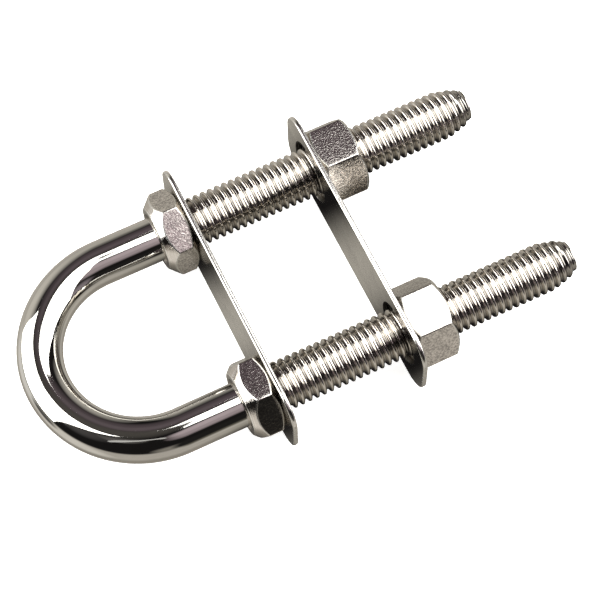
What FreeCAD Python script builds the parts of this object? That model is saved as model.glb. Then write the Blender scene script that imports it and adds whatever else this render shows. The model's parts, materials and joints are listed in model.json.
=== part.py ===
import FreeCAD, Part

import math
import os

# Bow eye: a bent rod whose two threaded legs pass through the hull of a boat, with a plate
# on each side of the hull and a nut against each plate on each leg. It lies flat, with the
# eye to -X, the leg tips to +X and the legs side by side along Y. The origin is the middle
# of the bow plate's face that bears on the hull. All sizes are in millimetres.

# Driving sizes
thread_d = 12.7             # major diameter of the legs
thread_pitch = 1.954        # 13 threads to the inch
inside_width = 38.1         # clear width of the eye between its legs
bare_leg = 15.2             # straight unthreaded leg between the bend and the bow nut
grip = 33.5                 # space between the plates, which holds the hull
left_tail = 31.7            # left leg that stands out past its backing nut
right_tail = 35.2           # the same on the right leg, which was cut longer
tip_chamfer = 2.3           # length of the slope from the thread's root down to the flat end
tip_taper = 4.7             # length over which the thread's crests fall away before that slope
plate_t = 1.27

# Shares, margins and clearances
rod_depth_share = 0.75      # bare rod's diameter under the leg's, over the height of a sharp thread
root_depth_share = 1.417    # the same for the bottom of the thread
tip_end_share = 0.61        # flat end of a leg over its diameter
nut_width_share = 1.5       # nut across its flats over the leg's diameter
backing_nut_share = 0.875   # height of the backing nut over the leg's diameter
bow_nut_share = 0.625       # height of the thinner bow nut over the leg's diameter
plate_side_margin = 0.9     # plate past the corners of a nut, across the plate
plate_end_margin = 2.4      # plate past the corners of a nut, at the plate's ends
plate_corner_share = 0.64   # corner rounding over half the plate's width
plate_hole_play = 3.8       # plate hole over the leg's diameter
plate_edge_break = 0.2      # slope round the face of a plate that its nuts bear on
bore_mouth = 0.5            # countersink of the bore at a nut's free end, past the leg
face_ring = 1.3             # flat ring left round the countersink on the bow nut's coned end
cone_angle = 45.0           # slope of the bow nut's cone, from its end face
chamfer_angle = 30.0        # slope of a plain nut chamfer, from its end face
seat_share = 0.95           # round seat of a plain nut end over the width across flats

# Angle of a corner of each nut from +Y, as the nuts happen to be turned
bow_nut_turn = {"left": 26.7, "right": 55.3}
backing_nut_turn = {"left": 59.0, "right": 7.3}

# Sizes that follow
thread_height = thread_pitch * math.sqrt(3.0) / 2.0
rod_d = thread_d - rod_depth_share * thread_height
root_d = thread_d - root_depth_share * thread_height
leg_spacing = inside_width + rod_d
bend_r = leg_spacing / 2.0
nut_width = nut_width_share * thread_d
nut_corner_r = nut_width / math.sqrt(3.0)
backing_nut_h = backing_nut_share * thread_d
bow_nut_h = bow_nut_share * thread_d
plate_width = 2.0 * (nut_corner_r + plate_side_margin)
plate_length = leg_spacing + 2.0 * (nut_corner_r + plate_end_margin)
plate_corner_r = plate_corner_share * plate_width / 2.0
plate_hole_r = (thread_d + plate_hole_play) / 2.0
bore_r = thread_d / 2.0
bore_mouth_r = bore_r + bore_mouth
nut_seat_r = seat_share * nut_width / 2.0

# Places along X
bow_plate_x = -plate_t
bow_nut_x = bow_plate_x - bow_nut_h
bend_x = bow_nut_x - bare_leg
backing_plate_x = grip
backing_nut_x = backing_plate_x + plate_t
tail_x = backing_nut_x + backing_nut_h
tip_x = {"left": tail_x + left_tail, "right": tail_x + right_tail}

# Places along Y
leg_y = {"left": bend_r, "right": -bend_r}

along_x = FreeCAD.Vector(1, 0, 0)


def point(x, y, z=0.0):
    return FreeCAD.Vector(x, y, z)


def turned(outline, y):
    """Solid turned about a line along X at the given Y, from (x, radius) points that start and end on it."""
    points = [point(x, y + radius) for x, radius in outline]
    face = Part.Face(Part.makePolygon(points + [points[0]]))
    return face.revolve(point(0, y), along_x, 360.0)


def bow():
    """Half ring of bare rod that joins the two legs."""
    start = point(bend_x, bend_r)
    middle = point(bend_x - bend_r, 0.0)
    end = point(bend_x, -bend_r)
    bend = Part.Arc(start, middle, end).toShape()
    section = Part.Wire([Part.makeCircle(rod_d / 2.0, start, along_x)])
    return Part.Wire([bend]).makePipeShell([section], True, False)


def leg(side):
    """Straight leg: bare rod up to the bow nut, then full thread diameter to a tapered tip."""
    thread_r = thread_d / 2.0
    rod_r = rod_d / 2.0
    step_x = bow_nut_x + thread_pitch
    chamfer_x = tip_x[side] - tip_chamfer
    outline = [
        (bend_x, 0.0),
        (bend_x, rod_r),
        (step_x, rod_r),
        (step_x + thread_r - rod_r, thread_r),
        (chamfer_x - tip_taper, thread_r),
        (chamfer_x, root_d / 2.0),
        (tip_x[side], tip_end_share * thread_r),
        (tip_x[side], 0.0),
    ]
    return turned(outline, leg_y[side])


def u_bolt():
    return bow().fuse([leg(side) for side in leg_y]).removeSplitter()


def plate_blank(x, nut_side_x):
    """Flat bar with rounded corners, standing across the legs, eased round the face its nuts bear on."""
    flat_y = plate_length / 2.0 - plate_corner_r
    flat_z = plate_width / 2.0 - plate_corner_r
    bar = Part.makeBox(plate_t, plate_length, plate_width, point(x, -plate_length / 2.0, -plate_width / 2.0))
    corners = [
        edge
        for edge in bar.Edges
        if abs(edge.Vertexes[0].X - edge.Vertexes[-1].X) > plate_t / 2.0
        and abs(edge.CenterOfMass.y) > flat_y
        and abs(edge.CenterOfMass.z) > flat_z
    ]
    blank = bar.makeFillet(plate_corner_r, corners)
    rim = [
        edge
        for edge in blank.Edges
        if edge.BoundBox.XLength < plate_t / 2.0 and abs(edge.CenterOfMass.x - nut_side_x) < plate_t / 2.0
    ]
    return blank.makeChamfer(plate_edge_break, rim)


def plate(x, nut_side_x):
    """Plate with one round hole over each leg."""
    holes = [Part.makeCylinder(plate_hole_r, plate_t, point(x, y), along_x) for y in leg_y.values()]
    return plate_blank(x, nut_side_x).cut(holes)


def hexagon_bar(x, y, length, turn):
    """Six-sided bar along X with one corner at the given angle from +Y; a negative length runs to -X."""
    corners = []
    for step in range(6):
        angle = math.radians(turn + 60.0 * step)
        corners.append(point(x, y + nut_corner_r * math.cos(angle), nut_corner_r * math.sin(angle)))
    face = Part.Face(Part.makePolygon(corners + [corners[0]]))
    return face.extrude(along_x * length)


def nut(seat_x, outward, y, height, turn, free_r, free_slope):
    """Six-sided nut that bears on a plate at seat_x and stands out from it, to -X or +X as outward says.

    Its seat is round and chamfered. Its free end is a cone of the given slope down to a flat of radius free_r.
    """
    reach = nut_corner_r + plate_side_margin
    seat_depth = (reach - nut_seat_r) * math.tan(math.radians(chamfer_angle))
    free_depth = (reach - free_r) * math.tan(math.radians(free_slope))
    free_x = seat_x + outward * height
    envelope = turned(
        [
            (seat_x, 0.0),
            (seat_x, nut_seat_r),
            (seat_x + outward * seat_depth, reach),
            (free_x - outward * free_depth, reach),
            (free_x, free_r),
            (free_x, 0.0),
        ],
        y,
    )
    bore = turned(
        [
            (seat_x, 0.0),
            (seat_x, bore_r),
            (free_x - outward * bore_mouth, bore_r),
            (free_x, bore_mouth_r),
            (free_x, 0.0),
        ],
        y,
    )
    return hexagon_bar(seat_x, y, outward * height, turn).common(envelope).cut(bore)


def bow_nut(side):
    """Thin nut on the bow plate, with a wide cone towards the eye."""
    return nut(
        bow_plate_x, -1.0, leg_y[side], bow_nut_h, bow_nut_turn[side], bore_mouth_r + face_ring, cone_angle
    )


def backing_nut(side):
    """Full-height nut on the backing plate, inside the boat, chamfered at both ends."""
    return nut(
        backing_nut_x, 1.0, leg_y[side], backing_nut_h, backing_nut_turn[side], nut_seat_r, chamfer_angle
    )


def build():
    parts = {
        "u_bolt": u_bolt(),
        "bow_plate": plate(bow_plate_x, bow_plate_x),
        "backing_plate": plate(backing_plate_x, backing_nut_x),
    }
    for side in leg_y:
        parts["bow_nut_" + side] = bow_nut(side)
        parts["backing_nut_" + side] = backing_nut(side)
    return parts


os.makedirs("parts", exist_ok=True)
for name, shape in build().items():
    shape.exportStep("parts/" + name + ".step")
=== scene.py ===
import json
import math

import bmesh
import bpy
import numpy as np
from bpy.props import FloatProperty, FloatVectorProperty, IntProperty, PointerProperty
from bpy.types import Operator, Panel, PropertyGroup
from mathutils import Matrix, Vector


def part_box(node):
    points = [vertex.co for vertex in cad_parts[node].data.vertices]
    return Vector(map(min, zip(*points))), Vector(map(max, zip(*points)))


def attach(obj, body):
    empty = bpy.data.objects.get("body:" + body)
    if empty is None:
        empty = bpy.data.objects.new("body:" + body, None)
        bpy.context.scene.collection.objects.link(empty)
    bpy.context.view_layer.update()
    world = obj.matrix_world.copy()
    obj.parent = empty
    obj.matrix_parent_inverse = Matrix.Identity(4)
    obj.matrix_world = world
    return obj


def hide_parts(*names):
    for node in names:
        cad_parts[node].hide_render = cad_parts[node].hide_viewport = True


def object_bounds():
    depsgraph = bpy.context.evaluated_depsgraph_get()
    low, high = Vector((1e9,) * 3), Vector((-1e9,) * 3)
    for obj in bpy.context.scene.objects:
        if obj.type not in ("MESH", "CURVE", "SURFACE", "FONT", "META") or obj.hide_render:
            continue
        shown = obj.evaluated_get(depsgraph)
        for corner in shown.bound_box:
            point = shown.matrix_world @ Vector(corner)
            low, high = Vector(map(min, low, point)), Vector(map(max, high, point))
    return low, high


bl_info = {
    "name": "Bow eye",
    "version": (1, 0, 0),
    "blender": (4, 5, 0),
    "location": "3D View > Sidebar > Bow eye",
    "description": "Stainless bow eye: a bent rod with two threaded legs, two plates and four nuts",
    "category": "Add Mesh",
}

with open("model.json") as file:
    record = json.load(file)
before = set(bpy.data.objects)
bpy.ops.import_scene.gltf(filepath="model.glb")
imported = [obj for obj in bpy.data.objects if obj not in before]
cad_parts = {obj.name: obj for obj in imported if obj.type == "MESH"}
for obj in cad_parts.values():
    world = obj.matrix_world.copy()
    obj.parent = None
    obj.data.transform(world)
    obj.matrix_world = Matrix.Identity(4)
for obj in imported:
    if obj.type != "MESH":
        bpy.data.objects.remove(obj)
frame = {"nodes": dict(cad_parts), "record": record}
cad_low, cad_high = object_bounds()

LEG_SIDES = {"left": 1.0, "right": -1.0}


def mount_size(mount_name, key):
    """One size of one of the record's mounts, in metres; the record holds it in millimetres."""
    for mount in frame["record"]["mounts"]:
        if mount["name"] == mount_name:
            return mount["dims"][key] / 1000.0
    raise RuntimeError("the record has no mount named " + mount_name)


LEG_RADIUS = mount_size("leg_pattern", "stud_r_mm")
LEG_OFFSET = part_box("u_bolt")[1].y - LEG_RADIUS

# Thread: half a groove, as distances from the crest in pitches and as shares of the thread's depth
GROOVE_STEPS = (0.0, 0.075, 0.13, 0.18, 0.285, 0.39, 0.445, 0.5)
GROOVE_DEPTHS = (0.0, 0.015, 0.055, 0.14, 0.51, 0.89, 0.98, 1.0)
THREAD_START = 0.9              # pitches from a bow nut's coned end to the start of the thread
THREAD_CLOSING = 0.4            # pitches over which the last groove closes at a tip
TIP_DEPTHS = (1.0, 0.55, 0.3)   # depth of the groove at the taper's start, the slope's start and the end
NUT_THREAD_DEPTH = 0.75         # depth of a nut's thread over the leg's

# End face of a leg: rings, each a share of its radius and how far it is sunk
END_FACE_RINGS = (
    (1.0, 0.0), (0.94, 0.00002), (0.86, 0.00007), (0.72, 0.00012), (0.5, 0.00015), (0.25, 0.00016),
)
# Groove share given to the end face; it is too small for the thread's painted groove shade to darken it.
END_FACE_GROOVE = 0.1

# Eased edges
EASE_LIMIT = 0.4                # longest ease over the shorter face beside it
SEAT_EASE = 0.8                 # ease round a nut's seat over that of its other edges
LEAST_CHAMFER = 0.00016         # shortest way from a nut's seat to its outline

# Eased rim of a plate: rings, each a depth and an inset over the reach
PLATE_EASE = ((0.0, 1.0), (0.06, 0.6), (0.25, 0.3), (0.65, 0.09), (1.0, 0.0))
PLATE_BEND_BANDS = len(PLATE_EASE) - 1
HOLE_EDGE_BANDS = 2             # bands of a hole's rim that are rubbed bright, from each face

# Meshes
WELD = 1e-7
STRAIGHT_RINGS = 9
BEND_RINGS = 121
NUT_POINTS = 96
HOLE_POINTS = 72
CORNER_STEPS = 16
ROD_SHARP_ANGLE = math.radians(80.0)
SHARP_ANGLE = math.radians(50.0)

# Place of each finish in the list of its piece
BARE_ROD, THREAD = range(2)
NUT_FLAT, NUT_TURNED, NUT_EDGE = range(3)
PLATE_FACE, PLATE_RIM, PLATE_EDGE, PLATE_HOLE = range(4)


def leg_tip(side):
    """Furthest X of the left leg, side 1, or of the right leg, side -1."""
    vertices = frame["nodes"]["u_bolt"].data.vertices
    return max(vertex.co.x for vertex in vertices if vertex.co.y * side > 0.0)


# Sizes and colours that a user may change


class BowEyeSizes(PropertyGroup):
    rod_diameter: FloatProperty(
        name="Rod diameter", description="Bare rod in the eye", default=0.011431,
        min=0.002, max=0.1, unit="LENGTH", precision=5)
    thread_pitch: FloatProperty(
        name="Thread pitch", description="Distance from one crest to the next", default=0.0019538,
        min=0.0005, max=0.01, unit="LENGTH", precision=5)
    thread_root_diameter: FloatProperty(
        name="Thread root diameter", description="Across the bottoms of the grooves", default=0.01065,
        min=0.002, max=0.1, unit="LENGTH", precision=5)
    thread_clearance: FloatProperty(
        name="Thread clearance", description="Gap between a leg's thread and a nut's", default=0.00004,
        min=0.0, max=0.001, unit="LENGTH", precision=5)
    tip_taper: FloatProperty(
        name="Tip taper", description="Length over which the thread falls away to the tip's slope",
        default=0.0047, min=0.0005, max=0.02, unit="LENGTH", precision=5)
    tip_chamfer: FloatProperty(
        name="Tip chamfer", description="Length of the slope down to the flat end", default=0.0023,
        min=0.0005, max=0.01, unit="LENGTH", precision=5)
    tip_slope_diameter: FloatProperty(
        name="Tip slope diameter", description="Where the slope to the flat end starts", default=0.010303,
        min=0.002, max=0.1, unit="LENGTH", precision=5)
    tip_end_diameter: FloatProperty(
        name="Tip end diameter", description="Flat end of each leg", default=0.00775,
        min=0.001, max=0.1, unit="LENGTH", precision=5)
    segments: IntProperty(
        name="Segments round the rod", description="Points round the rod and its thread",
        default=64, min=24, max=96)
    nut_width: FloatProperty(
        name="Nut width", description="Across the flats of a nut", default=0.01905,
        min=0.004, max=0.1, unit="LENGTH", precision=5)
    nut_corner_radius: FloatProperty(
        name="Nut corner radius", description="Rounding between two flats", default=0.0005,
        min=0.0001, max=0.003, unit="LENGTH", precision=5)
    nut_edge_radius: FloatProperty(
        name="Nut edge reach", description="How far each edge of a nut is eased", default=0.00028,
        min=0.00005, max=0.001, unit="LENGTH", precision=5)
    bore_mouth: FloatProperty(
        name="Bore mouth", description="Countersink of a nut's bore, past the leg", default=0.0005,
        min=0.0001, max=0.002, unit="LENGTH", precision=5)
    plate_corner_radius: FloatProperty(
        name="Plate corner radius", description="Rounded corners of both plates", default=0.00762,
        min=0.001, max=0.02, unit="LENGTH", precision=5)
    plate_hole_diameter: FloatProperty(
        name="Plate hole diameter", description="Clearance holes over the legs", default=0.0165,
        min=0.004, max=0.1, unit="LENGTH", precision=5)
    plate_edge_radius: FloatProperty(
        name="Plate edge reach", description="How far each edge of a plate is eased", default=0.0004,
        min=0.00005, max=0.0006, unit="LENGTH", precision=5)


class BowEyeNutShape(PropertyGroup):
    seat: FloatProperty(
        name="Seat", description="Radius of the round seat on each plain end of a nut",
        default=0.009049, min=0.002, max=0.05, unit="LENGTH", precision=5)
    coned_flat: FloatProperty(
        name="Coned end's flat", description="Radius of the flat left on a bow nut's coned end",
        default=0.00815, min=0.002, max=0.05, unit="LENGTH", precision=5)
    bow_cone: FloatProperty(
        name="Cone slope", description="Slope of a bow nut's cone from its end",
        default=math.radians(45.0), min=0.1, max=1.3, subtype="ANGLE")
    chamfer: FloatProperty(
        name="Chamfer slope", description="Slope of a plain nut chamfer from its end",
        default=math.radians(37.0), min=0.1, max=1.3, subtype="ANGLE")
    bow_turn_left: FloatProperty(
        name="Left bow nut", description="Angle of a corner from +Y",
        default=math.radians(26.7), subtype="ANGLE")
    bow_turn_right: FloatProperty(
        name="Right bow nut", description="Angle of a corner from +Y",
        default=math.radians(55.3), subtype="ANGLE")
    backing_turn_left: FloatProperty(
        name="Left backing nut", description="Angle of a corner from +Y",
        default=math.radians(59.0), subtype="ANGLE")
    backing_turn_right: FloatProperty(
        name="Right backing nut", description="Angle of a corner from +Y",
        default=math.radians(7.3), subtype="ANGLE")


class BowEyeFinish(PropertyGroup):
    rod_colour: FloatVectorProperty(
        name="Rod colour", description="Polished stainless rod", default=(0.60, 0.585, 0.55),
        min=0.0, max=1.0, size=3, subtype="COLOR")
    thread_colour: FloatVectorProperty(
        name="Thread colour", description="Rolled thread of the legs", default=(0.56, 0.53, 0.49),
        min=0.0, max=1.0, size=3, subtype="COLOR")
    nut_colour: FloatVectorProperty(
        name="Nut colour", description="Satin flats of the nuts", default=(0.55, 0.52, 0.485),
        min=0.0, max=1.0, size=3, subtype="COLOR")
    plate_colour: FloatVectorProperty(
        name="Plate colour", description="Satin faces of the plates", default=(0.54, 0.52, 0.485),
        min=0.0, max=1.0, size=3, subtype="COLOR")
    edge_colour: FloatVectorProperty(
        name="Edge colour", description="Bright worn edges", default=(0.70, 0.685, 0.65),
        min=0.0, max=1.0, size=3, subtype="COLOR")
    rod_roughness: FloatProperty(
        name="Rod roughness", description="Polish of the bare rod", default=0.035,
        min=0.0, max=1.0, subtype="FACTOR")
    thread_roughness: FloatProperty(
        name="Thread roughness", description="Polish of the thread", default=0.06,
        min=0.0, max=1.0, subtype="FACTOR")
    nut_roughness: FloatProperty(
        name="Nut roughness", description="Grain of the nuts' flats", default=0.06,
        min=0.0, max=1.0, subtype="FACTOR")
    plate_roughness: FloatProperty(
        name="Plate roughness", description="Grain of the plates", default=0.11,
        min=0.0, max=1.0, subtype="FACTOR")


class BowEyeStage(PropertyGroup):
    azimuth: FloatProperty(
        name="Azimuth", description="Turn of the camera round the object, 0 looking along +Y",
        default=-0.4169, subtype="ANGLE")
    elevation: FloatProperty(
        name="Elevation", description="Height of the camera above the horizon",
        default=1.1444, subtype="ANGLE")
    roll: FloatProperty(
        name="Roll", description="Turn of the camera about its own axis", default=-0.0357, subtype="ANGLE")
    distance: FloatProperty(
        name="Distance", description="From the camera to the point it looks at", default=0.55438,
        min=0.05, max=10.0, unit="LENGTH")
    target: FloatVectorProperty(
        name="Target", description="Point the camera looks at", default=(0.01581, -0.00618, 0.0),
        size=3, subtype="XYZ", unit="LENGTH")
    lens: FloatProperty(
        name="Lens", description="Focal length in millimetres", default=134.92, min=10.0, max=500.0)
    floor_colour: FloatVectorProperty(
        name="Floor colour", description="Plain pale floor", default=(0.93, 0.93, 0.92),
        min=0.0, max=1.0, size=3, subtype="COLOR")
    floor_glow: FloatProperty(
        name="Floor glow", description="Light that comes up through the floor",
        default=0.92, min=0.0, max=4.0)
    room_colour: FloatVectorProperty(
        name="Room colour", description="Dark room round the table", default=(0.014, 0.013, 0.013),
        min=0.0, max=1.0, size=3, subtype="COLOR")
    table_colour: FloatVectorProperty(
        name="Table light", description="Light that comes from below the horizon",
        default=(0.62, 0.585, 0.53), min=0.0, max=4.0, size=3, subtype="COLOR")
    panel_light: FloatProperty(
        name="Panel light", description="Brightness of the soft panels", default=5.0, min=0.0, max=50.0)


# Mesh building


def ring_faces(rings, around):
    """Quads between neighbouring rings of points, each ring closed on itself."""
    faces = []
    for ring in range(rings - 1):
        for step in range(around):
            after = (step + 1) % around
            faces.append((
                ring * around + step,
                ring * around + after,
                (ring + 1) * around + after,
                (ring + 1) * around + step,
            ))
    return faces


def even_angles(count):
    return 2.0 * math.pi * np.arange(count) / count


def eased(before, corner, after, reach):
    """Four rings that round off a corner of a profile; each argument holds (x, radius) pairs."""
    into = before - corner
    out = after - corner
    into_length = np.linalg.norm(into, axis=1, keepdims=True)
    out_length = np.linalg.norm(out, axis=1, keepdims=True)
    reach = np.minimum(reach, EASE_LIMIT * np.minimum(into_length, out_length))
    start = corner + into / into_length * reach
    end = corner + out / out_length * reach
    return [
        (1.0 - t) ** 2 * start + 2.0 * t * (1.0 - t) * corner + t ** 2 * end
        for t in (0.0, 1.0 / 3.0, 2.0 / 3.0, 1.0)
    ]


def polar(x, radius, angle, y):
    """Points round the line along X at the given Y."""
    return np.stack([
        x + 0.0 * angle,
        y + radius * np.cos(angle),
        radius * np.sin(angle),
    ], axis=-1).reshape(-1, 3)


def placed(name, data):
    """Puts new data into the scene."""
    thing = bpy.data.objects.new(name, data)
    bpy.context.scene.collection.objects.link(thing)
    return thing


class Shell:
    """Points, faces and values of a mesh that is put together from several surfaces."""

    def __init__(self):
        self.points = []
        self.faces = []
        self.finishes = []
        self.values = {}
        self.count = 0

    def add(self, points, faces, finish, **values):
        """Adds a surface; finish is the number of its material or one number for each face."""
        self.faces += [tuple(self.count + index for index in face) for face in faces]
        self.finishes += [finish] * len(faces) if isinstance(finish, int) else list(finish)
        self.points.append(np.asarray(points, float))
        for name, value in values.items():
            self.values.setdefault(name, []).append(np.asarray(value, float))
        self.count += len(points)

    def add_rings(self, rings, finishes, **values):
        """Adds a surface made of closed rings of points, with one finish for each band between two rings."""
        around = len(rings[0])
        bands = np.repeat(finishes, around).tolist()
        self.add(np.concatenate(rings), ring_faces(len(rings), around), bands, **values)

    def make(self, name, finishes, sharp_angle):
        """Turns the surfaces into one welded object; finishes are functions that make its materials."""
        mesh = bpy.data.meshes.new(name)
        mesh.from_pydata(np.concatenate(self.points).tolist(), [], self.faces)
        mesh.polygons.foreach_set("material_index", self.finishes)
        for value_name, parts in self.values.items():
            values = np.concatenate(parts)
            kind, field = ("FLOAT", "value") if values.ndim == 1 else ("FLOAT_VECTOR", "vector")
            attribute = mesh.attributes.new(value_name, kind, "POINT")
            attribute.data.foreach_set(field, values.astype(np.float32).ravel())
        sheet = bmesh.new()
        sheet.from_mesh(mesh)
        bmesh.ops.remove_doubles(sheet, verts=sheet.verts, dist=WELD)
        bmesh.ops.dissolve_degenerate(sheet, edges=sheet.edges, dist=WELD)
        bmesh.ops.recalc_face_normals(sheet, faces=sheet.faces)
        sheet.to_mesh(mesh)
        sheet.free()
        mesh.shade_smooth()
        mesh.set_sharp_from_angle(angle=sharp_angle)
        for finish in finishes:
            mesh.materials.append(shared_material(finish))
        return placed(name, mesh)


# Thread


def thread_radius(phase, sizes):
    """Radius of the thread at a distance from a crest, in pitches."""
    depth = LEG_RADIUS - sizes.thread_root_diameter / 2.0
    return LEG_RADIUS - depth * np.interp(np.abs(phase - np.round(phase)), GROOVE_STEPS, GROOVE_DEPTHS)


def helical_surface(y, start, end, radius_at, sizes, around):
    """Right-hand thread round a leg from one X to another, as points, faces, radii, angles and X places."""
    pitch = sizes.thread_pitch
    steps = np.array(GROOVE_STEPS)
    offsets = np.concatenate([-steps[-2:0:-1], steps])
    per_turn = len(offsets)
    turns = np.arange(math.floor(start / pitch) - 2, math.ceil(end / pitch) + 2)
    phases = (turns[:, None] + offsets[None, :]).ravel()
    angle = even_angles(around)
    lead = angle / (2.0 * math.pi)
    x = np.clip(pitch * (phases[:, None] + lead[None, :]), start, end)
    radius = radius_at(x, x / pitch - lead[None, :])
    points = polar(x, radius, angle[None, :] + 0.0 * x, y)
    rows = len(phases)
    faces = []
    for row in range(rows - 1):
        low, high = x[row], x[row + 1]
        for step in range(around):
            after = step + 1
            shift = 0
            if after == around:
                after = 0
                shift = per_turn
            if row + 1 + shift >= rows:
                continue
            low_after, high_after = x[row + shift, after], x[row + 1 + shift, after]
            if low[step] == high[step] and low_after == high_after:
                continue
            faces.append((
                row * around + step,
                (row + shift) * around + after,
                (row + 1 + shift) * around + after,
                (row + 1) * around + step,
            ))
    return points, faces, radius.ravel(), (angle[None, :] + 0.0 * x).ravel(), x.ravel()


# Materials


def fill(tree, node, inputs):
    """Sets each input of a node to a value or links it to an output; returns its outputs."""
    for name, value in inputs.items():
        if isinstance(value, bpy.types.NodeSocket):
            tree.links.new(value, node.inputs[name])
        else:
            node.inputs[name].default_value = value
    return node.outputs


def add_node(tree, kind, inputs, operation=None):
    """New shader node with filled inputs; returns its outputs."""
    node = tree.nodes.new(kind)
    if operation:
        node.operation = operation
    return fill(tree, node, inputs)


def noise(tree, vector, scale, detail=2.0, roughness=0.5, distortion=0.0):
    """Noise texture over the given coordinates."""
    inputs = {
        "Vector": vector, "Scale": scale, "Detail": detail, "Roughness": roughness, "Distortion": distortion,
    }
    return add_node(tree, "ShaderNodeTexNoise", inputs)["Fac"]


def stretched(tree, vector, scale):
    """Coordinates scaled by a different amount along each axis."""
    return add_node(tree, "ShaderNodeVectorMath", {0: vector, 1: scale}, "MULTIPLY")["Vector"]


def ramp(tree, value, low, high, to_low=0.0, to_high=1.0):
    """Maps a value's range onto another, held at its ends."""
    inputs = {"Value": value, "From Min": low, "From Max": high, "To Min": to_low, "To Max": to_high}
    return add_node(tree, "ShaderNodeMapRange", inputs)["Result"]


def combined(tree, operation, first, second):
    """Adds or multiplies two values; the second may be a number."""
    return add_node(tree, "ShaderNodeMath", {0: first, 1: second}, operation)["Value"]


def blended(tree, amount, first, second):
    """Colour that goes from the first to the second as the amount goes from 0 to 1; either may be a link."""
    node = tree.nodes.new("ShaderNodeMix")
    node.data_type = "RGBA"
    ends = [socket for socket in node.inputs if socket.type == "RGBA"]
    for socket, colour in zip(ends, (first, second)):
        if isinstance(colour, bpy.types.NodeSocket):
            tree.links.new(colour, socket)
        else:
            socket.default_value = (*colour, 1.0)
    tree.links.new(amount, node.inputs[0])
    return next(socket for socket in node.outputs if socket.type == "RGBA")


def bumped(tree, height, distance, strength=1.0, under=None):
    """Small relief from a height value, over another relief if one is given."""
    inputs = {"Height": height, "Distance": distance, "Strength": strength}
    if under is not None:
        inputs["Normal"] = under
    return add_node(tree, "ShaderNodeBump", inputs)["Normal"]


def two_tone(tree, amount, colour, light, dark):
    """Goes from the light share of a colour to the dark one as the amount goes from 0 to 1."""
    shades = [tuple(min(1.0, channel * share) for channel in colour) for share in (light, dark)]
    return blended(tree, amount, *shades)


def new_material(name):
    material = bpy.data.materials.new(name)
    material.use_nodes = True
    return material, material.node_tree


def steel(material, colour, roughness, relief):
    """Makes a material bare metal with the given colour, roughness and relief."""
    tree = material.node_tree
    fill(tree, tree.nodes["Principled BSDF"], {
        "Metallic": 1.0, "Base Color": colour, "Roughness": roughness, "Normal": relief,
    })
    return material


def object_coordinates(tree):
    return add_node(tree, "ShaderNodeTexCoord", {})["Object"]


def mesh_value(tree, name, output):
    node = tree.nodes.new("ShaderNodeAttribute")
    node.attribute_name = name
    return node.outputs[output]


def mirror_rod(finish):
    """Mirror polish with fine lines along the rod, faint smears and slight waves."""
    material, tree = new_material("mirror_rod")
    along = mesh_value(tree, "unbent", "Vector")
    lines = noise(tree, stretched(tree, along, (70.0, 2600.0, 2600.0)), 1.0, 3.0, 0.6)
    smears = noise(tree, stretched(tree, along, (60.0, 140.0, 140.0)), 1.0, 4.0, 0.55, 0.6)
    waves = noise(tree, stretched(tree, along, (55.0, 160.0, 160.0)), 1.0, 1.0)
    specks = noise(tree, object_coordinates(tree), 1500.0, 2.0, 0.7)
    colour = two_tone(tree, ramp(tree, smears, 0.35, 0.68), finish.rod_colour, 1.04, 0.90)
    rough = combined(
        tree, "ADD",
        ramp(tree, smears, 0.3, 0.75, finish.rod_roughness * 0.7, finish.rod_roughness * 1.6),
        ramp(tree, lines, 0.5, 0.8, 0.0, 0.03))
    rough = combined(tree, "ADD", rough, ramp(tree, specks, 0.7, 0.82, 0.0, 0.2))
    relief = bumped(tree, waves, 0.00006)
    relief = bumped(tree, lines, 0.0000015, 0.6, relief)
    return steel(material, colour, rough, relief)


def rolled_thread(finish):
    """Rolled thread: lighter crests, and grooves darkened as painted shade, unevenly in patches; the grooves
    are also rougher.
    """
    material, tree = new_material("rolled_thread")
    place = object_coordinates(tree)
    grain = noise(tree, place, 1900.0, 3.0, 0.65)
    patches = noise(tree, place, 260.0, 3.0, 0.6)
    # Painted shade: the colour darkens down into the grooves, more in some patches than in others.
    deep = ramp(tree, mesh_value(tree, "groove", "Fac"), 0.45, 1.0)
    groove_shade = combined(tree, "MULTIPLY", deep, ramp(tree, patches, 0.3, 0.7, 0.55, 1.0))
    colour = two_tone(tree, groove_shade, finish.thread_colour, 1.2, 0.5)
    rough = combined(
        tree, "ADD",
        ramp(tree, groove_shade, 0.0, 1.0, finish.thread_roughness * 0.7, finish.thread_roughness * 1.5),
        ramp(tree, grain, 0.45, 0.75, 0.0, 0.06))
    relief = bumped(tree, grain, 0.00001, 0.8)
    relief = bumped(tree, patches, 0.00004, 0.4, relief)
    return steel(material, colour, rough, relief)


def nut_flat(finish):
    """Satin flats of drawn bar: fine grain, lines along the bar and faint patches."""
    material, tree = new_material("nut_flat")
    place = object_coordinates(tree)
    grain = noise(tree, place, 1900.0, 3.0, 0.65)
    drawn = noise(tree, stretched(tree, place, (180.0, 1900.0, 1900.0)), 1.0, 3.0, 0.6)
    patches = noise(tree, place, 330.0, 3.0, 0.6)
    tone = combined(
        tree, "ADD", ramp(tree, grain, 0.4, 0.62, 0.0, 0.75), ramp(tree, patches, 0.35, 0.65, 0.0, 0.25))
    colour = two_tone(tree, tone, finish.nut_colour, 1.35, 0.55)
    rough = combined(
        tree, "ADD",
        ramp(tree, patches, 0.3, 0.7, finish.nut_roughness * 0.8, finish.nut_roughness * 1.3),
        ramp(tree, grain, 0.45, 0.7, 0.0, 0.03))
    relief = bumped(tree, grain, 0.000033, 0.9)
    relief = bumped(tree, drawn, 0.00004, 0.08, relief)
    return steel(material, colour, rough, relief)


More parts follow.
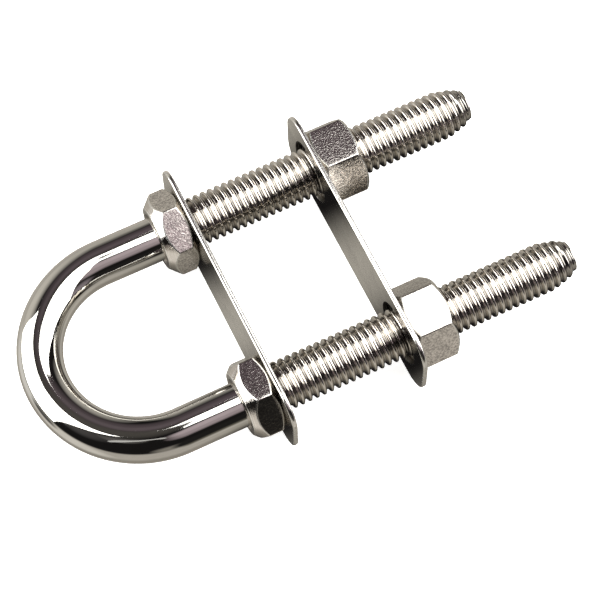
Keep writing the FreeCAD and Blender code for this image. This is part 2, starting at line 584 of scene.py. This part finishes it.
def nut_turned(finish):
    """Turned ends and cones: fine rings round the bore."""
    material, tree = new_material("nut_turned")
    reach = combined(tree, "MULTIPLY", mesh_value(tree, "reach", "Fac"), 3400.0)
    spread = add_node(tree, "ShaderNodeCombineXYZ", {"X": reach})["Vector"]
    rings = noise(tree, spread, 1.0, 2.0, 0.7)
    grain = noise(tree, object_coordinates(tree), 2300.0, 3.0, 0.7)
    tone = combined(
        tree, "ADD", ramp(tree, rings, 0.35, 0.7, 0.0, 0.5), ramp(tree, grain, 0.35, 0.75, 0.0, 0.4))
    colour = two_tone(tree, tone, finish.nut_colour, 1.25, 0.92)
    rough = ramp(tree, tone, 0.0, 1.0, finish.nut_roughness * 0.62, finish.nut_roughness * 0.98)
    relief = bumped(tree, rings, 0.00003, 0.7)
    relief = bumped(tree, grain, 0.00003, 0.6, relief)
    return steel(material, colour, rough, relief)


def worn_edge(finish):
    """Edges rubbed bright, with small nicks."""
    material, tree = new_material("worn_edge")
    nicks = noise(tree, object_coordinates(tree), 1200.0, 3.0, 0.7)
    colour = two_tone(tree, ramp(tree, nicks, 0.5, 0.75), finish.edge_colour, 1.05, 0.7)
    rough = ramp(tree, nicks, 0.3, 0.8, 0.16, 0.34)
    return steel(material, colour, rough, bumped(tree, nicks, 0.000015, 0.7))


def plate_face(finish):
    """Satin sheet: fine crossed grain with faint clouds and a few long scratches."""
    material, tree = new_material("plate_face")
    place = object_coordinates(tree)
    grain = noise(tree, place, 2600.0, 3.0, 0.7)
    lines = noise(tree, stretched(tree, place, (1500.0, 160.0, 2600.0)), 1.0, 3.0, 0.6)
    clouds = noise(tree, place, 150.0, 4.0, 0.6)
    tone = combined(
        tree, "ADD", ramp(tree, grain, 0.38, 0.62, 0.0, 0.65), ramp(tree, clouds, 0.35, 0.65, 0.0, 0.35))
    colour = two_tone(tree, tone, finish.plate_colour, 1.2, 0.68)
    rough = combined(
        tree, "ADD",
        ramp(tree, clouds, 0.3, 0.7, finish.plate_roughness * 0.8, finish.plate_roughness * 1.2),
        ramp(tree, lines, 0.5, 0.75, 0.0, 0.1))
    relief = bumped(tree, grain, 0.00003, 0.8)
    relief = bumped(tree, lines, 0.00002, 0.6, relief)
    return steel(material, colour, rough, relief)


def plate_rim(finish):
    """Sheared rims of the plates, brighter than the faces, with lines across the sheet."""
    material, tree = new_material("plate_rim")
    across = stretched(tree, object_coordinates(tree), (220.0, 1700.0, 1700.0))
    shear = noise(tree, across, 1.0, 3.0, 0.65)
    colour = two_tone(tree, ramp(tree, shear, 0.35, 0.7), finish.edge_colour, 1.1, 0.8)
    rough = ramp(tree, shear, 0.3, 0.75, 0.07, 0.18)
    return steel(material, colour, rough, bumped(tree, shear, 0.00001, 0.6))


def hole_wall(finish):
    """Punched walls of the plates' holes, rough and torn across the sheet, their colour darkened as painted
    shade.
    """
    material, tree = new_material("hole_wall")
    across = stretched(tree, object_coordinates(tree), (300.0, 1500.0, 1500.0))
    torn = noise(tree, across, 1.0, 3.0, 0.65)
    # Painted shade: the walls take a colour far darker than the plate faces.
    colour = two_tone(tree, ramp(tree, torn, 0.35, 0.7), finish.plate_colour, 0.5, 0.25)
    rough = ramp(tree, torn, 0.3, 0.75, 0.25, 0.45)
    return steel(material, colour, rough, bumped(tree, torn, 0.00008, 0.7))


def shared_material(make):
    """The finish of that name, made once."""
    return bpy.data.materials.get(make.__name__) or make(bpy.context.scene.bow_eye_finish)


# Pieces


def bend_start(sizes):
    """X at which the straight legs end and the bend starts."""
    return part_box("u_bolt")[0].x + LEG_OFFSET + sizes.rod_diameter / 2.0


def add_leg(shell, name, sizes):
    """Thread of one leg, from inside its bow nut to the tapered tip; returns the X at which it starts."""
    side = LEG_SIDES[name]
    rod_r = sizes.rod_diameter / 2.0
    end_r = sizes.tip_end_diameter / 2.0
    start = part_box("bow_nut_" + name)[0].x + sizes.thread_pitch * THREAD_START
    tip = leg_tip(side)
    slope_x = tip - sizes.tip_chamfer
    taper_x = slope_x - sizes.tip_taper

    def radius_at(x, phase):
        places = (taper_x, slope_x, tip)
        crest = np.interp(x, places, (LEG_RADIUS, sizes.tip_slope_diameter / 2.0, end_r))
        depth = np.interp(x, places, TIP_DEPTHS)
        groove = crest - (LEG_RADIUS - thread_radius(phase, sizes)) * depth
        rise = np.clip((x - start) / sizes.thread_pitch, 0.0, 1.0)
        closing = np.clip((tip - x) / (THREAD_CLOSING * sizes.thread_pitch), 0.0, 1.0)
        return np.where(x < taper_x, rod_r + (groove - rod_r) * rise, end_r + (groove - end_r) * closing)

    around = sizes.segments
    points, faces, radius, angle, x = helical_surface(side * LEG_OFFSET, start, tip, radius_at, sizes, around)
    outward = angle if side > 0.0 else math.pi - angle
    length = side * (math.pi / 2.0 * LEG_OFFSET + x - bend_start(sizes))
    unbent = np.stack([length, radius * np.cos(outward), radius * np.sin(outward)], axis=1)
    groove = np.clip((LEG_RADIUS - radius) / (LEG_RADIUS - sizes.thread_root_diameter / 2.0), 0.0, 1.0)
    shell.add(points, faces, THREAD, unbent=unbent, groove=groove)
    add_end_face(shell, tip, end_r, side * LEG_OFFSET, around)
    return start


def add_end_face(shell, tip, end_r, y, around):
    """Slightly dished end face of a leg."""
    rings = [polar(tip - sink, end_r * share, even_angles(around), y) for share, sink in END_FACE_RINGS]
    points = np.concatenate(rings + [[[tip - END_FACE_RINGS[-1][1], y, 0.0]]])
    middle = len(points) - 1
    last = middle - around
    faces = ring_faces(len(rings), around)
    faces += [(last + step, last + (step + 1) % around, middle) for step in range(around)]
    shell.add(points, faces, THREAD, unbent=points, groove=np.full(len(points), END_FACE_GROOVE))


def add_bow(shell, thread_start, sizes):
    """Bare rod from one thread to the other, round the bend."""
    angle = even_angles(sizes.segments)
    reach = sizes.rod_diameter / 2.0 * np.cos(angle)
    height = sizes.rod_diameter / 2.0 * np.sin(angle)
    bend_x = bend_start(sizes)
    left = np.linspace(thread_start["left"], bend_x, STRAIGHT_RINGS)[:-1]
    turns = np.radians(np.linspace(0.0, 180.0, BEND_RINGS))
    right = np.linspace(bend_x, thread_start["right"], STRAIGHT_RINGS)[1:]
    places = [(x, LEG_OFFSET, 0.0, bend_x - x) for x in left]
    places += [
        (bend_x - LEG_OFFSET * math.sin(turn), LEG_OFFSET * math.cos(turn), turn, 0.0) for turn in turns
    ]
    places += [(x, -LEG_OFFSET, math.pi, x - bend_x) for x in right]
    rings, unbent = [], []
    for x, y, turn, past_bend in places:
        length = (turn - math.pi / 2.0) * LEG_OFFSET + past_bend
        rings.append(np.stack([x - reach * math.sin(turn), y + reach * math.cos(turn), height], axis=1))
        unbent.append(np.stack([length + 0.0 * angle, reach, height], axis=1))
    shell.add_rings(
        rings, [BARE_ROD] * (len(rings) - 1),
        unbent=np.concatenate(unbent), groove=np.zeros(len(rings) * len(angle)))


def rounded_hexagon(sizes, turn, count):
    """Angle and radius of points round a nut's outline, in order, starting near +Y."""
    radius = sizes.nut_corner_radius
    reach = sizes.nut_width / math.sqrt(3.0) - radius / math.cos(math.radians(30.0))
    leans = np.radians([-30.0, -15.0, 0.0, 15.0, 30.0])
    on_flat = count // 6 - len(leans)

    def corner_arc(number):
        corner = turn + math.radians(60.0 * number)
        return np.stack([
            reach * math.cos(corner) + radius * np.cos(corner + leans),
            reach * math.sin(corner) + radius * np.sin(corner + leans),
        ], axis=1)

    outline = []
    for number in range(6):
        arc, following = corner_arc(number), corner_arc(number + 1)
        share = (np.arange(on_flat) + 1.0)[:, None] / (on_flat + 1.0)
        outline += [arc, arc[-1] + (following[0] - arc[-1]) * share]
    y, z = np.concatenate(outline).T
    angle = np.arctan2(z, y)
    first = np.argmin(np.abs(angle))
    return np.roll(angle, -first), np.roll(np.hypot(y, z), -first)


def make_nut(name, turn, near_end, far_end, sizes):
    """Nut with a real thread; each end is a pair: radius of its flat seat and slope of its cone."""
    low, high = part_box(name)
    near, far = low.x, high.x
    y = LEG_OFFSET if low.y > 0.0 else -LEG_OFFSET
    angle, outline = rounded_hexagon(sizes, turn, NUT_POINTS)
    mouth_r = LEG_RADIUS + sizes.bore_mouth

    def ring(x, radius):
        return np.stack([x + 0.0 * outline, radius + 0.0 * outline], axis=1)

    def end_corners(x, inward, end):
        seat, slope = end
        depth = np.maximum(outline - seat, LEAST_CHAMFER) * math.tan(slope)
        return ring(x, np.minimum(seat, outline - LEAST_CHAMFER)), ring(x + inward * depth, outline)

    near_seat, near_arc = end_corners(near, 1.0, near_end)
    far_seat, far_arc = end_corners(far, -1.0, far_end)
    near_mouth, far_mouth = ring(near, mouth_r), ring(far, mouth_r)
    reach = sizes.nut_edge_radius
    profile = [near_mouth]
    profile += eased(near_mouth, near_seat, near_arc, reach * SEAT_EASE)
    profile += eased(near_seat, near_arc, far_arc, reach)
    profile += eased(near_arc, far_arc, far_seat, reach)
    profile += eased(far_arc, far_seat, far_mouth, reach * SEAT_EASE)
    profile += [far_mouth]
    bands = [NUT_TURNED]
    for between in (NUT_TURNED, NUT_FLAT, NUT_TURNED, NUT_TURNED):
        bands += [NUT_EDGE] * 3 + [between]
    bore_angle = even_angles(NUT_POINTS)
    angles = [bore_angle] + [angle] * (len(profile) - 2) + [bore_angle]
    rings = [polar(*place.T, turned, y) for place, turned in zip(profile, angles)]
    shell = Shell()
    shell.add_rings(rings, bands, reach=np.concatenate([place[:, 1] for place in profile]))

    minor_r = LEG_RADIUS - NUT_THREAD_DEPTH * (LEG_RADIUS - sizes.thread_root_diameter / 2.0)

    def bore_at(x, phase):
        groove = np.maximum(thread_radius(phase, sizes) + sizes.thread_clearance, minor_r)
        return np.maximum(groove, mouth_r - np.minimum(x - near, far - x))

    points, faces, radius = helical_surface(y, near, far, bore_at, sizes, NUT_POINTS)[:3]
    shell.add(points, faces, NUT_TURNED, reach=radius)
    nut = shell.make(name + "_dressed", (nut_flat, nut_turned, worn_edge), SHARP_ANGLE)
    weigh_normals(nut)
    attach(nut, "root")
    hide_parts(name)


def weigh_normals(piece):
    """Keeps the large flat faces flat beside their eased edges."""
    modifier = piece.modifiers.new("flat faces", "WEIGHTED_NORMAL")
    modifier.mode = "FACE_AREA"
    modifier.weight = 60
    modifier.keep_sharp = True


def plate_outline(x, half_length, half_width, corner_r, inset):
    """Points at one X round a bar with rounded corners, drawn in by an inset."""
    points = []
    for number, (sign_y, sign_z) in enumerate(((1, 1), (-1, 1), (-1, -1), (1, -1))):
        for step in range(CORNER_STEPS + 1):
            angle = math.radians(90.0 * number + 90.0 * step / CORNER_STEPS)
            points.append((
                x,
                sign_y * (half_length - corner_r) + (corner_r - inset) * math.cos(angle),
                sign_z * (half_width - corner_r) + (corner_r - inset) * math.sin(angle),
            ))
    return points


def make_plate(name, sizes):
    """Flat bar with rounded corners, eased rims and two clearance holes."""
    low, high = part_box(name)
    corner_r = sizes.plate_corner_radius
    hole_r = sizes.plate_hole_diameter / 2.0
    reach = sizes.plate_edge_radius
    rim = [(low.x + reach * depth, reach * inset) for depth, inset in PLATE_EASE]
    rim += [(high.x - reach * depth, reach * inset) for depth, inset in reversed(PLATE_EASE)]
    shell = Shell()
    shell.add_rings(
        [plate_outline(x, high.y, high.z, corner_r, inset) for x, inset in rim],
        [PLATE_EDGE] * PLATE_BEND_BANDS + [PLATE_RIM] + [PLATE_EDGE] * PLATE_BEND_BANDS)
    edge = [PLATE_EDGE] * HOLE_EDGE_BANDS
    wall = [PLATE_HOLE] * (len(rim) - 1 - 2 * HOLE_EDGE_BANDS)
    for side in LEG_SIDES.values():
        shell.add_rings(
            [polar(x, hole_r + inset, even_angles(HOLE_POINTS), side * LEG_OFFSET) for x, inset in rim],
            edge + wall + edge)
    plate = shell.make(name + "_dressed", (plate_face, plate_rim, worn_edge, hole_wall), SHARP_ANGLE)
    close_faces(plate, (low.x, high.x))
    weigh_normals(plate)
    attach(plate, "root")
    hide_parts(name)


def close_faces(plate, places):
    """Fills the two flat faces of a plate between its outline and its holes."""
    sheet = bmesh.new()
    sheet.from_mesh(plate.data)
    for x in places:
        rims = [edge for edge in sheet.edges if edge.is_boundary and abs(edge.verts[0].co.x - x) < WELD]
        filled = bmesh.ops.triangle_fill(sheet, use_beauty=True, use_dissolve=False, edges=rims)
        for item in filled["geom"]:
            if isinstance(item, bmesh.types.BMFace):
                item.material_index = PLATE_FACE
                item.smooth = True
    bmesh.ops.recalc_face_normals(sheet, faces=sheet.faces)
    sheet.to_mesh(plate.data)
    sheet.free()


class BOWEYE_OT_u_bolt(Operator):
    """Make the bent rod with its two threaded legs"""
    bl_idname = "bow_eye.u_bolt"
    bl_label = "Bent rod"

    def execute(self, context):
        sizes = context.scene.bow_eye_sizes
        shell = Shell()
        thread_start = {name: add_leg(shell, name, sizes) for name in LEG_SIDES}
        add_bow(shell, thread_start, sizes)
        rod = shell.make("u_bolt_dressed", (mirror_rod, rolled_thread), ROD_SHARP_ANGLE)
        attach(rod, "root")
        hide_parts("u_bolt")
        return {"FINISHED"}


class BOWEYE_OT_plates(Operator):
    """Make the bow plate and the backing plate"""
    bl_idname = "bow_eye.plates"
    bl_label = "Plates"

    def execute(self, context):
        for name in ("bow_plate", "backing_plate"):
            make_plate(name, context.scene.bow_eye_sizes)
        return {"FINISHED"}


class BOWEYE_OT_nuts(Operator):
    """Make the two coned bow nuts and the two backing nuts"""
    bl_idname = "bow_eye.nuts"
    bl_label = "Nuts"

    def execute(self, context):
        sizes = context.scene.bow_eye_sizes
        shape = context.scene.bow_eye_nuts
        coned = (shape.coned_flat, shape.bow_cone)
        plain = (shape.seat, shape.chamfer)
        make_nut("bow_nut_left", shape.bow_turn_left, coned, plain, sizes)
        make_nut("bow_nut_right", shape.bow_turn_right, coned, plain, sizes)
        make_nut("backing_nut_left", shape.backing_turn_left, plain, plain, sizes)
        make_nut("backing_nut_right", shape.backing_turn_right, plain, plain, sizes)
        return {"FINISHED"}


# Stage

FLOOR_REACH = 3.0
PANEL_DISTANCE = 1.2
PANEL_COLOUR = (1.0, 1.0, 0.985, 1.0)

# Card that stands for the table in the mirrors, glowing with a painted reflection of the lit table and
# painted shadow under the object: place, fineness and how dark the object makes it
SHADE_LIFT = 0.0002
SHADE_BEFORE_NUTS = 0.012
SHADE_PAST_TIPS = 0.02
SHADE_HALF_WIDTH = 0.06
SHADE_FADE = 0.015
SHADE_COLUMNS, SHADE_ROWS = 121, 81
LEG_SHADE = 1.25
NUT_SHADE = 0.9
SHADE_COLOUR = (0.012, 0.011, 0.011)
LIT_COLOUR = (0.52, 0.49, 0.43)

# Corners of the two wide soft panels, each an azimuth from +X and a tilt from overhead in degrees
LEFT_PANEL = (
    (200.0, 15.0), (157.0, 25.0), (139.0, 33.0), (107.0, 40.0), (118.0, 55.0), (129.0, 92.0), (155.0, 93.0),
    (182.0, 91.0),
)
RIGHT_PANEL = (
    (76.0, 24.6), (57.5, 27.6), (39.0, 39.0), (12.0, 58.0), (-1.0, 70.0), (-21.0, 78.0), (-32.0, 80.0),
    (-41.0, 79.0), (-45.0, 68.0), (-56.0, 43.0), (-65.0, 31.0), (-65.0, 21.0), (-71.0, 12.0), (52.0, 9.0),
    (47.0, 15.5), (44.0, 21.0), (59.0, 23.4),
)

# Two small panels on a flat map of the sky, in degrees from overhead towards +X and towards +Y: corners of
# the first, and the middle line and half widths of the second
TIP_PANEL = (
    (2.8, 11.8), (4.3, 6.0), (5.9, -5.0), (8.6, -7.0), (12.0, 4.0), (11.0, 12.0), (8.0, 13.2), (4.8, 13.4),
)
THIN_PANEL = (
    (-38.0, -27.2), (-30.0, -24.0), (-25.0, -22.3), (-21.0, -21.6), (-15.6, -22.2), (-11.8, -22.4),
    (-7.6, -25.2), (-6.0, -31.4),
)
THIN_PANEL_HALF_WIDTHS = (1.0, 2.6, 3.0, 3.0, 2.6, 2.2, 2.2, 1.0)
THIN_PANEL_LIGHT = 0.16         # brightness over that of the other panels

# Patches of light above and below the horizon: azimuth, tilt, inner and outer radius in degrees, and colour
ROOM_PATCHES = (
    (120.0, 12.0, 6.0, 26.0, (0.10, 0.092, 0.085)),
    (70.0, 40.0, 8.0, 26.0, (0.11, 0.088, 0.098)),
    (84.0, 92.0, 6.0, 20.0, (0.42, 0.40, 0.355)),
    (112.0, 86.0, 12.0, 38.0, (0.78, 0.745, 0.68)),
    (42.0, 84.0, 5.0, 30.0, (0.62, 0.59, 0.54)),
    (72.0, 33.0, 2.0, 12.0, (0.16, 0.13, 0.145)),
    (187.0, 45.0, 4.0, 24.0, (0.09, 0.085, 0.085)),
    (222.0, 30.0, 2.0, 13.0, (0.17, 0.16, 0.155)),
    (-72.0, 41.0, 9.0, 19.0, (0.50, 0.42, 0.45)),
    (-75.0, 29.0, 5.0, 12.0, (0.66, 0.56, 0.60)),
    (-53.0, 80.0, 5.0, 22.0, (0.36, 0.31, 0.34)),
    (262.0, 88.0, 6.0, 15.0, (0.30, 0.28, 0.25)),
    (-80.0, 86.0, 12.0, 18.0, (0.02, 0.019, 0.018)),
)
TABLE_PATCHES = (
    (-4.0, 99.0, 10.0, 30.0, (0.20, 0.185, 0.17)),
    (148.0, 106.0, 14.0, 26.0, (0.97, 0.95, 0.90)),
    (192.0, 122.0, 16.0, 28.0, (0.95, 0.91, 0.84)),
    (172.0, 109.0, 6.0, 13.0, (0.14, 0.135, 0.13)),
    (-80.0, 96.0, 6.0, 13.0, (0.17, 0.16, 0.13)),
    (0.0, 180.0, 30.0, 50.0, (0.37, 0.345, 0.30)),
)
HORIZON = (-0.05, -0.19)        # heights between which the room gives way to the table


def make_floor(stage):
    """Plain pale floor that glows a little, as a light table does."""
    mesh = bpy.data.meshes.new("floor")
    low, high = -FLOOR_REACH, FLOOR_REACH
    corners = ((low, low), (high, low), (high, high), (low, high))
    mesh.from_pydata([(x, y, cad_low.z) for x, y in corners], [], [(0, 1, 2, 3)])
    material, tree = new_material("floor")
    colour = (*stage.floor_colour, 1.0)
    fill(tree, tree.nodes["Principled BSDF"], {
        "Base Color": colour, "Roughness": 0.8, "Specular IOR Level": 0.0,
        "Emission Color": colour, "Emission Strength": stage.floor_glow,
    })
    mesh.materials.append(material)
    floor = placed("floor", mesh)
    floor.visible_glossy = False


def shade_values(x, y):
    """How light the painted table is under each place, with painted shadow near the legs and nuts, and how
    much of the card shows there.
    """
    light = np.ones_like(x)
    for side in LEG_SIDES.values():
        away = np.hypot(y - side * LEG_OFFSET, (x - leg_tip(side)).clip(0.0))
        light *= np.clip(1.0 - LEG_SHADE * np.exp(-(away / (2.0 * LEG_RADIUS)) ** 2), 0.0, 1.0)
    for name in ("bow_nut_left", "bow_nut_right", "backing_nut_left", "backing_nut_right"):
        low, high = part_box(name)
        away = np.hypot(np.maximum(low.x - x, x - high.x).clip(0.0), y - (low.y + high.y) / 2.0)
        light *= 1.0 - NUT_SHADE * np.exp(-(away / high.z) ** 2)
    border = np.minimum(np.minimum(x - x.min(), x.max() - x), SHADE_HALF_WIDTH - np.abs(y))
    return light, np.clip(border / SHADE_FADE, 0.0, 1.0)


def make_shade():
    """Glowing card in the floor that only mirrors see, with painted light and shade: pale near the object and
    dark under it as painted shadow.
    """
    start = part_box("bow_nut_left")[0].x - SHADE_BEFORE_NUTS
    end = cad_high.x + SHADE_PAST_TIPS
    x, y = np.meshgrid(
        np.linspace(start, end, SHADE_COLUMNS), np.linspace(-SHADE_HALF_WIDTH, SHADE_HALF_WIDTH, SHADE_ROWS))
    points = np.stack([x.ravel(), y.ravel(), np.full(x.size, cad_low.z + SHADE_LIFT)], axis=1)
    firsts = np.arange(x.size).reshape(x.shape)[:-1, :-1].ravel().tolist()
    faces = [(first, first + 1, first + SHADE_COLUMNS + 1, first + SHADE_COLUMNS) for first in firsts]
    mesh = bpy.data.meshes.new("shade")
    mesh.from_pydata(points.tolist(), [], faces)
    for name, values in zip(("light", "cover"), shade_values(x, y)):
        attribute = mesh.attributes.new(name, "FLOAT", "POINT")
        attribute.data.foreach_set("value", values.astype(np.float32).ravel())
    material, tree = new_material("shade")
    tree.nodes.clear()
    # Painted shadow: the glow goes from the lit table's colour to near black where the object shades the
    # table.
    tone = blended(tree, mesh_value(tree, "light", "Fac"), SHADE_COLOUR, LIT_COLOUR)
    glow = add_node(tree, "ShaderNodeEmission", {"Color": tone})[0]
    clear = add_node(tree, "ShaderNodeBsdfTransparent", {})[0]
    cover = mesh_value(tree, "cover", "Fac")
    card = add_node(tree, "ShaderNodeMixShader", {0: cover, 1: clear, 2: glow})[0]
    add_node(tree, "ShaderNodeOutputMaterial", {"Surface": card})
    mesh.materials.append(material)
    shade = placed("shade", mesh)
    shade.visible_camera = False
    shade.visible_diffuse = False
    shade.visible_shadow = False


def direction(azimuth, tilt):
    """Unit vector at an azimuth from +X and a tilt from overhead, both in degrees."""
    turn, lean = math.radians(azimuth), math.radians(tilt)
    return Vector((math.sin(lean) * math.cos(turn), math.sin(lean) * math.sin(turn), math.cos(lean)))


def from_map(place):
    """Azimuth and tilt of a place on the flat map of the sky."""
    return math.degrees(math.atan2(place[1], place[0])), math.hypot(*place)


def thin_panel_corners():
    """Both sides of the thin panel's middle line, as one ring of places on the map."""
    middle = np.array(THIN_PANEL)
    along = np.gradient(middle, axis=0)
    along /= np.linalg.norm(along, axis=1)[:, None]
    across = np.stack([-along[:, 1], along[:, 0]], axis=1) * np.array(THIN_PANEL_HALF_WIDTHS)[:, None]
    return np.concatenate([middle + across, (middle - across)[::-1]])


def soft_panel(name, corners, brightness):
    """Glowing panel that the camera can't see; each corner is a pair of azimuth and tilt."""
    points = [direction(*corner) * PANEL_DISTANCE for corner in corners]
    mesh = bpy.data.meshes.new(name)
    mesh.from_pydata(points, [], [tuple(range(len(points)))])
    material, tree = new_material(name)
    tree.nodes.clear()
    glow = add_node(tree, "ShaderNodeEmission", {"Color": PANEL_COLOUR, "Strength": brightness})[0]
    add_node(tree, "ShaderNodeOutputMaterial", {"Surface": glow})
    mesh.materials.append(material)
    panel = placed(name, mesh)
    panel.visible_camera = False


def patch(tree, towards, under, azimuth, tilt, inner, outer, colour):
    """Soft round patch of light in one direction of the room, over the light that is already there."""
    facing = add_node(tree, "ShaderNodeVectorMath", {0: towards, 1: direction(azimuth, tilt)}, "DOT_PRODUCT")
    rim, middle = math.cos(math.radians(outer)), math.cos(math.radians(inner))
    return blended(tree, ramp(tree, facing["Value"], rim, middle), under, colour)


def make_world(stage):
    """Room light: dark above the horizon, the pale table below it, and a plain pale wall behind the view."""
    world = bpy.data.worlds.new("studio")
    bpy.context.scene.world = world
    world.use_nodes = True
    tree = world.node_tree
    tree.nodes.clear()
    towards = add_node(tree, "ShaderNodeTexCoord", {})["Generated"]
    height = add_node(tree, "ShaderNodeSeparateXYZ", {0: towards})["Z"]
    light, table = stage.room_colour, stage.table_colour
    for spot in ROOM_PATCHES:
        light = patch(tree, towards, light, *spot)
    for spot in TABLE_PATCHES:
        table = patch(tree, towards, table, *spot)
    light = blended(tree, ramp(tree, height, *HORIZON), light, table)
    room = add_node(tree, "ShaderNodeBackground", {"Color": light})[0]
    wall = add_node(tree, "ShaderNodeBackground", {"Color": (*stage.floor_colour, 1.0), "Strength": 1.0})[0]
    seen = add_node(tree, "ShaderNodeLightPath", {})["Is Camera Ray"]
    view = add_node(tree, "ShaderNodeMixShader", {0: seen, 1: room, 2: wall})[0]
    add_node(tree, "ShaderNodeOutputWorld", {"Surface": view})


def make_camera(stage):
    turn, height = stage.azimuth, stage.elevation
    back = Vector((math.sin(turn) * math.cos(height), -math.cos(turn) * math.cos(height), math.sin(height)))
    right = Vector((math.cos(turn), math.sin(turn), 0.0))
    up = back.cross(right)
    turned_right = right * math.cos(stage.roll) + up * math.sin(stage.roll)
    turned_up = up * math.cos(stage.roll) - right * math.sin(stage.roll)
    lens = bpy.data.cameras.new("camera")
    lens.lens = stage.lens
    lens.sensor_width = 36.0
    lens.clip_start = 0.01
    lens.clip_end = 50.0
    camera = placed("camera", lens)
    camera.matrix_world = (
        Matrix.Translation(Vector(stage.target) + back * stage.distance)
        @ Matrix((turned_right, turned_up, back)).transposed().to_4x4()
    )
    bpy.context.scene.camera = camera


class BOWEYE_OT_stage(Operator):
    """Make the floor, the soft lights and the camera"""
    bl_idname = "bow_eye.stage"
    bl_label = "Stage"

    def execute(self, context):
        stage = context.scene.bow_eye_stage
        context.scene.view_settings.view_transform = "Standard"
        make_floor(stage)
        make_shade()
        soft_panel("left_panel", LEFT_PANEL, stage.panel_light)
        soft_panel("right_panel", RIGHT_PANEL, stage.panel_light)
        soft_panel("tip_panel", map(from_map, TIP_PANEL), stage.panel_light)
        soft_panel("thin_panel", map(from_map, thin_panel_corners()), stage.panel_light * THIN_PANEL_LIGHT)
        make_world(stage)
        make_camera(stage)
        return {"FINISHED"}


class BOWEYE_PT_sidebar(Panel):
    bl_idname = "BOWEYE_PT_sidebar"
    bl_label = "Bow eye"
    bl_space_type = "VIEW_3D"
    bl_region_type = "UI"
    bl_category = "Bow eye"

    def draw(self, context):
        for operator in OPERATORS:
            self.layout.operator(operator.bl_idname)
        for group in GROUPS:
            settings = getattr(context.scene, group)
            column = self.layout.column()
            for name in settings.bl_rna.properties.keys():
                if name not in ("rna_type", "name"):
                    column.prop(settings, name)


OPERATORS = (BOWEYE_OT_u_bolt, BOWEYE_OT_plates, BOWEYE_OT_nuts, BOWEYE_OT_stage)
GROUPS = {
    "bow_eye_sizes": BowEyeSizes,
    "bow_eye_nuts": BowEyeNutShape,
    "bow_eye_finish": BowEyeFinish,
    "bow_eye_stage": BowEyeStage,
}
CLASSES = (*GROUPS.values(), *OPERATORS, BOWEYE_PT_sidebar)


def register():
    for item in CLASSES:
        bpy.utils.register_class(item)
    for name, group in GROUPS.items():
        setattr(bpy.types.Scene, name, PointerProperty(type=group))


def unregister():
    for name in GROUPS:
        delattr(bpy.types.Scene, name)
    for item in reversed(CLASSES):
        bpy.utils.unregister_class(item)


def main():
    register()
    bpy.ops.bow_eye.u_bolt()
    bpy.ops.bow_eye.plates()
    bpy.ops.bow_eye.nuts()
    bpy.ops.bow_eye.stage()


if __name__ == "__main__":
    main()
